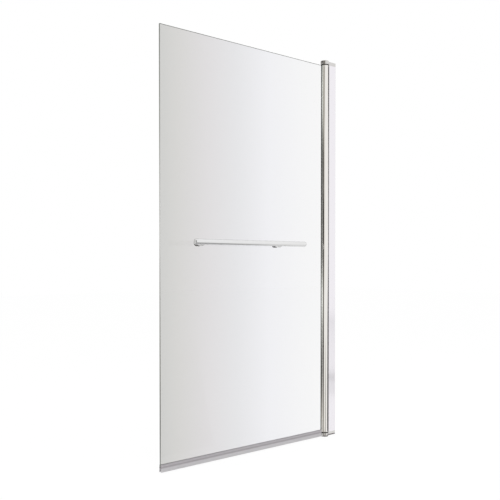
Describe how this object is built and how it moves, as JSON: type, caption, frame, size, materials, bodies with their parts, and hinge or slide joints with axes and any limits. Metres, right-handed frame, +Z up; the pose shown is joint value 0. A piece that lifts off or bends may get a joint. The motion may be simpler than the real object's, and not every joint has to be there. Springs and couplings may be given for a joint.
{
  "type": "bath screen",
  "caption": "Pivoting bath screen: clear glass panel on a round pivot tube, adjustable wall profile, end brackets, bottom seal and a towel rail through the glass.",
  "frame": {"origin": "centre of the wall face, midway between the wall fixings", "axes": "+Z up; +X out of the wall face into the wall, so the screen runs along -X; -Y towards the room, the towel rail's side of the glass; at rest the glass stands square to the wall"},
  "size_m": [0.785, 0.1035, 1.434],
  "materials": {
    "bright_aluminium": "bright anodised extrusion",
    "polished_aluminium": "polished extrusion",
    "plated_zinc": "chrome-plated casting",
    "chrome_plate": "chrome plate",
    "stainless_steel": "turned stainless steel",
    "brass": "turned brass",
    "clear_glass": "toughened float glass",
    "clear_vinyl": "clear soft extrusion",
    "white_nylon": "moulded nylon",
    "grey_nylon": "moulded nylon",
    "black_acetal": "moulded acetal",
    "silver_plastic": "metallised moulding"
  },
  "bodies": {
    "wall_side": {"wall_channel": "bright_aluminium", "lock_screws": "stainless_steel", "lock_washers": "white_nylon", "lock_caps": "silver_plastic"},
    "hinge_frame": {"adjusting_profile": "bright_aluminium", "top_bracket": "plated_zinc", "bottom_bracket": "plated_zinc", "top_bracket_screws": "stainless_steel", "bottom_bracket_screws": "stainless_steel", "top_pivot_pin": "stainless_steel", "bottom_pivot_pin": "stainless_steel"},
    "screen": {"pivot_tube": "polished_aluminium", "top_tube_plug": "grey_nylon", "bottom_tube_plug": "grey_nylon", "top_pivot_bush": "black_acetal", "bottom_pivot_bush": "black_acetal", "glazing_gasket": "clear_vinyl", "glass_panel": "clear_glass", "bottom_seal": "clear_vinyl", "towel_rail": "chrome_plate", "rail_end_caps": "chrome_plate", "rail_inserts": "brass", "rail_posts": "chrome_plate", "rail_boss_rings": "chrome_plate", "glass_hole_bushes": "clear_vinyl", "rear_glass_washers": "clear_vinyl", "rail_studs": "stainless_steel", "rail_cap_nuts": "chrome_plate"}
  },
  "joints": [
    {"name": "width_slide", "type": "slide", "parent": "wall_side", "child": "hinge_frame", "axis": [-1, 0, 0], "range_m": [0, 0.015]},
    {"name": "screen_swing", "type": "hinge", "parent": "hinge_frame", "child": "screen", "pos_m": [-0.048, 0, 0], "axis": [0, 0, 1], "range_deg": [-90, 75]}
  ]
}
